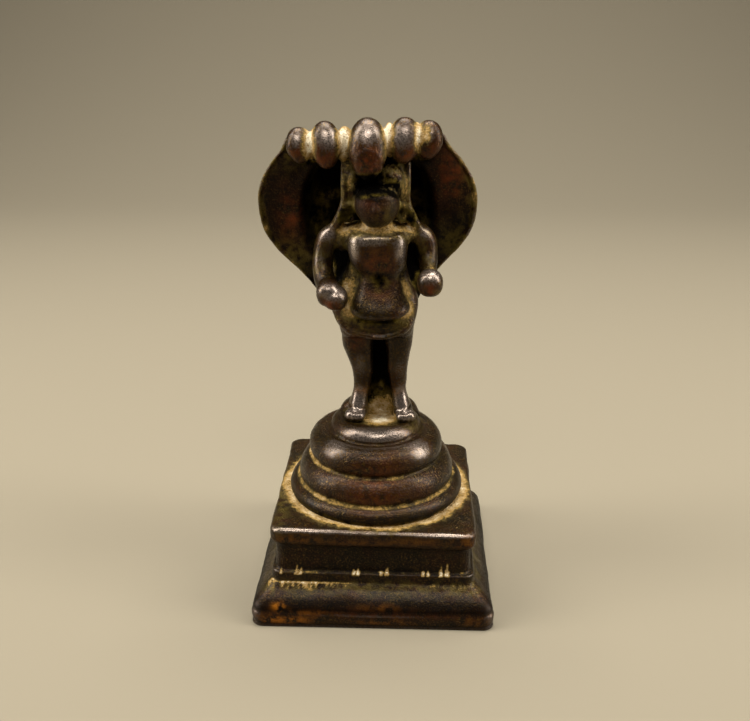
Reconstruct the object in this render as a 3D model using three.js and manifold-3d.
// A small lost-wax bronze: Krishna stands on a coiled snake, under its five-headed hood, on a moulded
// square plinth. It is one casting, so it is one solid. Millimetres, +Z up, the figure looks along -Y,
// and the origin is the centre of the plinth's underside.
import * as THREE from 'three';
import { mergeVertices } from 'three/addons/utils/BufferGeometryUtils.js';
import Module from 'manifold-3d';

const wasm = await Module();
wasm.setup();

// Driving dimensions
const SLAB_SIDE = 40;              // the slab that carries the coil
const SLAB_THICKNESS = 3.3;
const BASE_SIDE = 47.2;            // the foot moulding
const PLINTH_HEIGHT = 19.2;
const SLAB_FALL = 0.021;           // the slab drops this much per mm towards +X
const COIL_HEIGHT = 16;            // from the slab to the crest of the top coil
const HEM_HEIGHT = 53.5;
const CHIN_HEIGHT = 75;
const HOOD_HALF_WIDTH = 21.1;
const HOOD_WIDEST_AT = 78.2;
const HOOD_CENTRE_X = -1.9;        // the hood is cast off centre
const HOOD_ROLL = THREE.MathUtils.degToRad(1.5);
const HEAD_TOP = 94.6;             // top of the middle cobra head

// Worked out from them
const FLOOR_OF_COIL = PLINTH_HEIGHT - 0.6;
const STAND = PLINTH_HEIGHT + COIL_HEIGHT - 0.7;

const TURN = 2 * Math.PI;
const { lerp, smoothstep, clamp } = THREE.MathUtils;
const vec = (x, y, z) => new THREE.Vector3(x, y, z);

// Solids

// A closed solid from rings with equal point counts, each end closed by a fan around its middle.
function skin(rings) {
  const count = rings[0].length;
  const middle = (ring) => ring.reduce((sum, p) => sum.add(p), vec(0, 0, 0)).divideScalar(count);
  const points = [...rings.flat(), middle(rings[0]), middle(rings.at(-1))];
  const index = [];
  for (let row = 0; row + 1 < rings.length; row += 1) {
    for (let i = 0; i < count; i += 1) {
      const a = row * count + i;
      const b = row * count + ((i + 1) % count);
      index.push(a, b, b + count, a, b + count, a + count);
    }
  }
  const first = points.length - 2;
  const last = points.length - 1;
  const top = (rings.length - 1) * count;
  for (let i = 0; i < count; i += 1) {
    const next = (i + 1) % count;
    index.push(first, next, i, last, top + i, top + next);
  }
  const geometry = new THREE.BufferGeometry().setFromPoints(points);
  geometry.setIndex(index);
  return geometry;
}

// Welds a closed geometry, drops its collapsed triangles and hands it over for joining.
function solid(geometry) {
  const bare = geometry.clone();
  bare.deleteAttribute('normal');
  bare.deleteAttribute('uv');
  const welded = mergeVertices(bare, 1e-4);
  const index = Array.from(welded.index.array);
  const kept = [];
  for (let i = 0; i < index.length; i += 3) {
    const [a, b, c] = index.slice(i, i + 3);
    if (a !== b && b !== c && c !== a) kept.push(a, b, c);
  }
  const mesh = { numProp: 3, vertProperties: welded.attributes.position.array, triVerts: new Uint32Array(kept) };
  return new wasm.Manifold(new wasm.Mesh(mesh));
}

// A ring that is a circle, an ellipse or, with a higher power, a rounded box, flat at height z.
function ovalRing({ x = 0, y = 0, z, rx, ry, power = 2, sides = 16 }) {
  const ring = [];
  for (let i = 0; i < sides; i += 1) {
    const angle = (i / sides) * TURN;
    const round = (value) => Math.sign(value) * Math.abs(value) ** (2 / power);
    ring.push(vec(x + rx * round(Math.cos(angle)), y + ry * round(Math.sin(angle)), z));
  }
  return ring;
}

// A body of flat rings: each station is [z, centre x, half width, front y, back y].
function body(stations, power, sides) {
  return solid(skin(stations.map(([z, x, rx, front, back]) => ovalRing({
    x, y: (front + back) / 2, z, rx, ry: (back - front) / 2, power, sides,
  }))));
}

// A limb: round rings carried along a curve, with the radius given at each point of the curve.
function limb(points, radii, sides, steps) {
  const curve = new THREE.CatmullRomCurve3(points.map((p) => vec(...p)));
  const frames = curve.computeFrenetFrames(steps);
  const rings = [];
  for (let i = 0; i <= steps; i += 1) {
    const place = (i / steps) * (radii.length - 1);
    const low = Math.min(Math.floor(place), radii.length - 2);
    const radius = lerp(radii[low], radii[low + 1], place - low);
    const centre = curve.getPoint(i / steps);
    const ring = [];
    for (let k = 0; k < sides; k += 1) {
      const angle = (k / sides) * TURN;
      ring.push(centre.clone()
        .addScaledVector(frames.normals[i], radius * Math.cos(angle))
        .addScaledVector(frames.binormals[i], radius * Math.sin(angle)));
    }
    rings.push(ring);
  }
  return solid(skin(rings));
}

// An egg: a sphere drawn out to three radii, leant forward about X and turned about Z.
function egg(centre, radii, { lean = 0, turn = 0, around = 12, down = 8 } = {}) {
  const geometry = new THREE.SphereGeometry(1, around, down);
  geometry.scale(...radii);
  geometry.rotateX(lean);
  geometry.rotateZ(turn);
  geometry.translate(...centre);
  return solid(geometry);
}

// A pod: flat rings that close towards both ends, blunter than an egg when the power is over 2, narrower
// at the lower end by the taper, and leant forward about X.
function pod(centre, [rx, ry, rz], { power = 2.4, sides = 10, steps = 6, taper = 0, lean = 0 } = {}) {
  const rings = [];
  for (let i = 0; i <= steps; i += 1) {
    const slope = lerp(-0.47, 0.47, i / steps) * Math.PI;
    const rise = Math.sign(slope) * Math.abs(Math.sin(slope)) ** (2 / power);
    const width = Math.cos(slope) ** (2 / power) * (1 - taper * Math.max(-rise, 0) ** 1.5);
    const ring = ovalRing({ z: rz * rise, rx: rx * width, ry: ry * width, power: 2.2, sides });
    rings.push(ring.map((p) => p.applyAxisAngle(vec(1, 0, 0), lean).add(vec(...centre))));
  }
  return solid(skin(rings));
}

// Plinth: a rounded square whose half side follows the moulding's profile from the floor up.
function plinth() {
  const base = BASE_SIDE / 2;
  const slab = SLAB_SIDE / 2;
  const slabFoot = PLINTH_HEIGHT - SLAB_THICKNESS;
  const profile = [
    [0, base - 0.7],
    [0.5, base - 0.05],
    [1.2, base + 0.1],
    [2.6, base + 0.1],
    [3.2, base - 0.2],
    [3.6, base - 0.1],
    [4.6, base - 0.4],
    [5.6, base - 1.2],
    [6.8, base - 2.4],
    [7.8, slab + 0.25],
    [8.1, slab + 0.05],
    [9.7, slab - 0.1],
    [10, slab - 0.6],
    [10.3, slab - 0.8],
    [slabFoot - 0.6, slab - 0.95],
    [slabFoot - 0.1, slab - 0.4],
    [slabFoot + 0.7, slab],
    [PLINTH_HEIGHT - 0.7, slab],
    [PLINTH_HEIGHT, slab - 0.6],
  ];
  const cornerRadius = 2.2;
  const cornerSteps = 3;
  const rings = profile.map(([z, half]) => {
    const ring = [];
    for (let corner = 0; corner < 4; corner += 1) {
      const middle = (corner + 0.5) * (TURN / 4);
      const reach = (half - cornerRadius) * Math.SQRT2;
      for (let i = 0; i <= cornerSteps; i += 1) {
        const angle = (corner + i / cornerSteps) * (TURN / 4);
        const x = reach * Math.cos(middle) + cornerRadius * Math.cos(angle);
        const y = reach * Math.sin(middle) + cornerRadius * Math.sin(angle);
        const fall = SLAB_FALL * x * smoothstep(z, 5.1, slabFoot);
        ring.push(vec(x, y, z - fall));
      }
    }
    return ring;
  });
  return solid(skin(rings));
}

// Coil: half-round turns between grooves. The grooves stand still from the left side round the front
// to the right, and climb by one turn round the back, which makes the rings one coiled body.
const GROOVES = [
  [17.2, -0.4],
  [15.2, 2.7],
  [12.9, 8.0],
  [9.0, 12.9],
  [6.8, 15.8],
];                                 // radius and height over the slab
const SWELL = [1.71, 1.65, 2.74, 1.25];
const CLIMB_FROM = THREE.MathUtils.degToRad(-25);
const CLIMB_TO = THREE.MathUtils.degToRad(150);
const SEAM = THREE.MathUtils.degToRad(200);

function along(table, place) {
  const low = clamp(Math.floor(place), 0, table.length - 2);
  const part = clamp(place - low, 0, 1);
  return lerp(table[low], table[low + 1], part);
}

function coil() {
  const turns = GROOVES.length;
  const columns = 30;
  const stepsPerTurn = 4;
  const rows = [];
  for (let tier = 0; tier < turns; tier += 1) {
    for (let step = 0; step < stepsPerTurn; step += 1) {
      rows.push([tier, step / stepsPerTurn]);
    }
  }
  rows.push([turns - 1, 1]);
  const point = (angle, [tier, part]) => {
    const climb = smoothstep(angle, CLIMB_FROM, CLIMB_TO);
    const last = turns - 1;
    const from = clamp(tier - 1 + climb, 0, last);
    const to = clamp(tier + climb, 0, last);
    const [r0, z0] = [0, 1].map((k) => along(GROOVES.map((g) => g[k]), from));
    const [r1, z1] = [0, 1].map((k) => along(GROOVES.map((g) => g[k]), to));
    const chord = Math.hypot(r1 - r0, z1 - z0) || 1;
    const swell = along(SWELL, (from + to - 1) / 2) * (to - from);
    const half = part * Math.PI;
    const out = swell * Math.sin(half);
    const r = (r0 + r1) / 2 + ((r0 - r1) / 2) * Math.cos(half) + out * ((z1 - z0) / chord);
    const z = (z0 + z1) / 2 + ((z0 - z1) / 2) * Math.cos(half) + out * ((r0 - r1) / chord);
    return vec(r * Math.cos(angle), r * Math.sin(angle), PLINTH_HEIGHT + z);
  };
  const positions = [];
  const quad = (a, b, c, d) => {
    for (const p of [a, b, c, a, c, d]) positions.push(p.x, p.y, p.z);
  };
  const top = vec(0, 0, STAND);
  const foot = vec(0, 0, FLOOR_OF_COIL);
  for (let i = 0; i < columns; i += 1) {
    const [left, right] = [i, i + 1].map((k) => SEAM - TURN + (k / columns) * TURN);
    for (let row = 0; row + 1 < rows.length; row += 1) {
      quad(point(left, rows[row]), point(right, rows[row]), point(right, rows[row + 1]), point(left, rows[row + 1]));
    }
    const rim = [left, right].map((angle) => point(angle, rows.at(-1)));
    const edge = [left, right].map((angle) => point(angle, rows[0]));
    for (const p of [rim[0], rim[1], top, edge[1], edge[0], foot]) positions.push(p.x, p.y, p.z);
  }
  const geometry = new THREE.BufferGeometry();
  geometry.setAttribute('position', new THREE.Float32BufferAttribute(positions, 3));
  return solid(geometry);
}

// Legs, feet and the stem of the snake that stands behind them. Each station is height over the coil,
// centre x, half width, front y and back y.
const LEGS = [
  {
    side: -1,
    toe: -4.2,
    stations: [
      [-0.4, -3.8, 1.9, -2.2, 3.2],
      [1.4, -3.8, 2, -2.5, 3.3],
      [2.9, -3.7, 1.85, -2.1, 3.2],
      [4.4, -3.4, 1.6, -1.5, 3],
      [6.4, -3.1, 1.45, -0.9, 2.6],
      [8.5, -3, 1.65, -1.1, 2.7],
      [10.8, -2.95, 1.95, -1.6, 2.9],
      [14.3, -3.6, 2.6, -2.2, 3.3],
      [16.4, -3.8, 2.95, -2.7, 3.6],
      [21, -3.5, 3.3, -3.1, 3.8],
    ],
  },
  {
    side: 1,
    toe: 6.1,
    stations: [
      [-0.4, 5.5, 1.9, -2.2, 3.2],
      [1.4, 5.5, 2, -2.5, 3.3],
      [2.9, 5.3, 1.85, -2.1, 3.2],
      [4.4, 4.9, 1.6, -1.5, 3],
      [6.4, 4.6, 1.4, -0.9, 2.6],
      [8.5, 4.5, 1.6, -1.1, 2.7],
      [10.8, 4.35, 1.9, -1.6, 2.9],
      [14.3, 4.5, 2.3, -2.2, 3.3],
      [16.4, 4.55, 2.6, -2.7, 3.6],
      [21, 4.2, 3.3, -3.1, 3.8],
    ],
  },
];

function legs() {
  return LEGS.flatMap(({ side, toe, stations }) => [
    body(stations.map(([height, ...rest]) => [STAND + height, ...rest]), 2.4, 10),
    egg([toe, -2.1, STAND + 0.8], [2.1, 1.75, 1.3], { turn: side * 0.25, around: 10, down: 6 }),
  ]);
}

function stem() {
  return body([
    [STAND - 1.5, 0.5, 8.6, 1.2, 8.4],
    [STAND + 0.9, 0.5, 7.6, 1.4, 8],
    [STAND + 2.9, 0.6, 5.5, 1.7, 7.6],
    [STAND + 6, 0.6, 4.6, 1.8, 7.4],
    [STAND + 14, 0.7, 4.8, 1.8, 7.4],
    [HEM_HEIGHT + 3, 0.2, 7, 1.8, 7.7],
    [HEM_HEIGHT + 8, -0.3, 9.6, 2, 8.2],
    [HEM_HEIGHT + 11, -0.6, 10.2, 2.9, 8.6],
    [HEM_HEIGHT + 14, -0.8, 10.2, 4.9, 8.8],
    [HEM_HEIGHT + 17, -0.8, 9.6, 6.8, 8.9],
  ], 2.4, 12);
}

// Hips with the cloth's deep hem, which hangs in a curve from hip to hip
function hips() {
  const cloth = body([
    [HEM_HEIGHT - 0.5, 0.1, 6.6, -3.4, 3.6],
    [HEM_HEIGHT, 0.1, 7, -4.5, 4.1],
    [HEM_HEIGHT + 2.4, 0.1, 7.5, -4.5, 4.4],
    [HEM_HEIGHT + 5.2, -0.5, 8.7, -3.9, 4.5],
    [HEM_HEIGHT + 7.3, -0.5, 8.4, -3.1, 4.5],
    [HEM_HEIGHT + 9.6, -0.3, 7, -2.2, 4.2],
    [HEM_HEIGHT + 14, 0.2, 5.6, -1.2, 4],
    [HEM_HEIGHT + 20, 0.3, 6.4, -0.2, 4],
  ], 2.9, 20);
  const hem = limb([
    [-8.5, -0.5, HEM_HEIGHT + 4.9],
    [-7.1, -2.8, HEM_HEIGHT + 2.7],
    [-4.8, -4.15, HEM_HEIGHT + 1],
    [0.6, -4.8, HEM_HEIGHT],
    [5, -4.15, HEM_HEIGHT + 0.9],
    [6.9, -2.8, HEM_HEIGHT + 2.7],
    [7.8, -0.5, HEM_HEIGHT + 5.2],
  ], [0.4, 0.5, 0.5, 0.5, 0.5, 0.5, 0.4], 6, 14);
  return [cloth, hem];
}

// Torso: collar, chest plate, pinched waist and the belly that juts over the cloth
function torso() {
  return [
    body([
      [57.3, 0.9, 4.2, -5.5, 3.3],
      [57.7, 0.9, 5, -6.7, 3.5],
      [58.4, 0.9, 5.3, -7.1, 3.7],
      [59.6, 0.9, 5.25, -6.7, 3.8],
      [61.2, 0.87, 4.95, -5.8, 3.8],
      [63.2, 0.8, 4.4, -4.8, 3.8],
      [65.2, 0.7, 3.8, -4.3, 3.8],
      [66.1, 0.7, 4.3, -4.4, 3.9],
      [67, 0.55, 5, -4.7, 4],
      [68.6, 0.35, 5.5, -5, 4],
      [70.6, 0.25, 5.75, -5.1, 4],
      [72.4, 0.3, 5.85, -5, 4],
      [73.5, 0.3, 5.4, -4.5, 4],
      [74.4, 0.3, 4.2, -3.2, 3.8],
    ], 3.2, 14),
    egg([0.4, 0.8, 73], [8.8, 3.6, 2.5]),
    egg([0.3, -0.6, 75.4], [3.2, 2.8, 2.2]),
  ];
}

function arms() {
  return [
    limb([[-6.6, 1, 73], [-9.1, 0.9, 71.6], [-10.3, 0.3, 67.6], [-9.9, -1.6, 64.4], [-8.4, -4.8, 62.4]],
      [2.2, 2.3, 2, 2.1, 2.3], 8, 9),
    limb([[7, 1, 73.2], [9.1, 0.9, 71.8], [10, 0.2, 69], [10, -1.8, 66.8], [10.2, -4.6, 65.2]],
      [2.2, 2.2, 1.9, 1.7, 1.8], 8, 9),
    egg([-8.95, -5.3, 62.7], [2.3, 2.5, 2.55], { lean: 0.3, around: 10 }),
    egg([-7.5, -5.8, 61.8], [2.35, 2.5, 2.15], { lean: 0.3, around: 10 }),
    egg([10.3, -5.6, 64.9], [2.5, 2.5, 2.65], { lean: 0.3 }),
  ];
}

// A face ball whose crown is pressed down above the brow to a quarter of its height there
function faceBall([x, y, z], [rx, ry, rz], brow) {
  const ball = new THREE.SphereGeometry(1, 14, 10);
  ball.rotateX(Math.PI / 2);
  ball.scale(rx, ry, rz);
  const places = ball.attributes.position;
  for (let i = 0; i < places.count; i += 1) {
    const height = places.getZ(i);
    if (height > brow) places.setZ(i, brow + (height - brow) / 4);
  }
  ball.translate(x, y, z);
  return solid(ball);
}

// Head: a worn, rounded face, a cap with two rough lobes, side locks and ear ornaments
function head() {
  const face = [0.2, -3.2, CHIN_HEIGHT + 4.1];
  const parts = [
    faceBall(face, [4.2, 4.2, 4.4], 2.3),
    egg([0, 3.6, CHIN_HEIGHT + 5.4], [5, 5.2, 5.4], { around: 12, down: 8 }),
    egg([2.8, -1.6, CHIN_HEIGHT + 8.1], [2.5, 2.3, 3.2]),
    egg([-3.9, -0.2, CHIN_HEIGHT + 8.2], [1.5, 1.9, 2.8], { around: 10, down: 6 }),
  ];
  for (const side of [-1, 1]) {
    parts.push(limb([
      [side * 5.5, 0.4, CHIN_HEIGHT + 11],
      [side * 5.7, -0.7, CHIN_HEIGHT + 8],
      [side * 5.9, -1, CHIN_HEIGHT + 4.4],
      [side * 6.9, -0.9, CHIN_HEIGHT + 0.9],
      [side * 8.6, 0.2, CHIN_HEIGHT - 1.8],
    ], [0.95, 1.1, 1.1, 1.3, 1.2], 7, 8));
    parts.push(egg([side * 5.2, -1.4, CHIN_HEIGHT + 2.6], [1.1, 1.3, 1.9], { around: 8, down: 6 }));
  }
  return parts;
}

// Hood: a dished shield with a thin raised rim, broad wings and a deep hollow behind the head
const HOOD_PROFILE = [
  [-20.5, 0.42],
  [-17, 0.52],
  [-13.2, 0.665],
  [-9.2, 0.845],
  [-5, 0.965],
  [0, 1],
  [4, 0.965],
  [7.8, 0.86],
  [10.4, 0.755],
  [12.7, 0.7],
];                                 // height over the widest line, and half width as a share

const HOOD_ROWS = 13;
const HOLLOW_HALF_WIDTH = 12.8;
const HOLLOW_DEPTH = 3.7;
const HOLLOW_HALF_HEIGHT = 12;
const HOLLOW_BELOW = 2;            // the hollow's middle lies this far under the widest line
const HOOD_LEAN = 0.0055;          // the top half curls forward
const HOOD_FRONT = 3.2;
const HOOD_BACK = 10.2;
const HOOD_BACK_BEND = 0.012;
const LIP_ENDS_AT = 12.7;          // the raised rim runs out behind the heads

function hoodRing(height, share) {
  const half = HOOD_HALF_WIDTH * share;
  const rise = (height + HOLLOW_BELOW) / HOLLOW_HALF_HEIGHT;
  const open = Math.sqrt(Math.max(0, 1 - rise * rise));
  const hollow = Math.min(half - 3.2, Math.max(3, HOLLOW_HALF_WIDTH * open ** 0.6));
  const depth = HOLLOW_DEPTH * smoothstep(open, 0.2, 1);
  const front = HOOD_FRONT - HOOD_LEAN * Math.max(height + 6, 0) ** 2;
  const lip = 1 - smoothstep(height, 8, LIP_ENDS_AT);
  const rimBack = front + 1.9;
  const middleBack = HOOD_BACK - HOOD_BACK_BEND * (height + 6) ** 2;
  const columns = [
    [half, front + 0.9 - 0.3 * lip],
    [half - 0.35, front + 0.75 * (1 - lip)],
    [half - 0.8, front + 0.78 - 0.63 * lip],
    [half - 1.3, front + 0.8],
    [(half - 1.3 + hollow) / 2, front + 1.1],
    [hollow, front + 1.3],
    [hollow - 1.2, front + 1.3 + depth * 0.75],
    [hollow / 2, front + 1.3 + depth],
  ];
  const back = [0.3, 0.6, 0.84, 0.97].map((part) => [part, rimBack + (middleBack - rimBack) * (1 - part ** 2.2)]);
  const ring = [
    ...columns.map(([x, y]) => [-x, y]),
    [0, front + 1.3 + depth],
    ...columns.toReversed(),
    ...back.toReversed().map(([part, y]) => [half * part, y]),
    ...back.map(([part, y]) => [-half * part, y]),
  ];
  return ring.map(([x, y]) => {
    const cos = Math.cos(HOOD_ROLL);
    const sin = Math.sin(HOOD_ROLL);
    return vec(HOOD_CENTRE_X + x * cos - height * sin, y, HOOD_WIDEST_AT + x * sin + height * cos);
  });
}

function hood() {
  const outline = new THREE.SplineCurve(HOOD_PROFILE.map(([height, share]) => new THREE.Vector2(height, share)));
  return solid(skin(outline.getPoints(HOOD_ROWS).map((p) => hoodRing(p.x, p.y))));
}

// Five cobras: the necks fan out up the hood's back, and the heads bend over its top edge and look down
const COBRAS = [
  { x: -13.95, width: 5, top: -1.7, length: 6.6 },
  { x: -9.15, width: 5.2, top: -0.5, length: 8.6 },
  { x: -1.5, width: 6.8, top: 0.2, length: 11 },
  { x: 5.25, width: 5.5, top: 0.1, length: 8.1 },
  { x: 9.55, width: 5.1, top: -0.4, length: 6.9 },
];

function cobras() {
  return COBRAS.flatMap(({ x, width, top, length }) => {
    const half = length / 2;
    const middle = HEAD_TOP + top - half;
    const reach = 0.6 + 0.22 * length;
    return [
      pod([x, 0.6 - reach, middle], [width / 2, reach, half], { taper: 0.15, lean: -0.3 }),
      limb([
        [x * 0.42 - 1, 9.4, HOOD_WIDEST_AT - 9],
        [x * 0.7 - 0.6, 10, HOOD_WIDEST_AT + 2],
        [x * 0.93, 7, HOOD_WIDEST_AT + 9.8],
        [x, 2.6, middle - 0.2],
        [x, 0.2, middle],
      ], [1.3, 1.8, 2.1, 2.1, 1.9], 7, 6),
    ];
  });
}

// The band of bronze between the heads, which ties them together behind
function crest() {
  const path = [
    [-14.6, 2.3, 88.1],
    [-11.4, 2.1, 89],
    [-6, 2, 89.2],
    [-1.7, 2, 89.5],
    [2.4, 2, 89.8],
    [7.4, 2.1, 89.8],
    [10.4, 2.4, 89.2],
  ];
  return limb(path, [2, 2.5, 2.7, 2.7, 2.7, 2.5, 2], 7, 8);
}

// The casting
function cast(parts) {
  return parts.reduce((whole, part) => whole.add(part));
}

function toGeometry(manifold) {
  const { vertProperties, triVerts } = manifold.getMesh();
  const geometry = new THREE.BufferGeometry();
  geometry.setAttribute('position', new THREE.BufferAttribute(vertProperties, 3));
  geometry.setIndex(new THREE.BufferAttribute(triVerts, 1));
  geometry.computeVertexNormals();
  return geometry;
}

const bronze = new THREE.MeshStandardMaterial({ color: 0x4a3a30, roughness: 0.45, metalness: 0.9 });

const casting = cast([
  plinth(), coil(), ...legs(), stem(), ...hips(), ...torso(), ...arms(), ...head(), hood(), ...cobras(), crest(),
]);
const figure = new THREE.Mesh(toGeometry(casting), bronze);
figure.name = 'krishna_figure';

const group = new THREE.Group();
group.add(figure);
export default group;
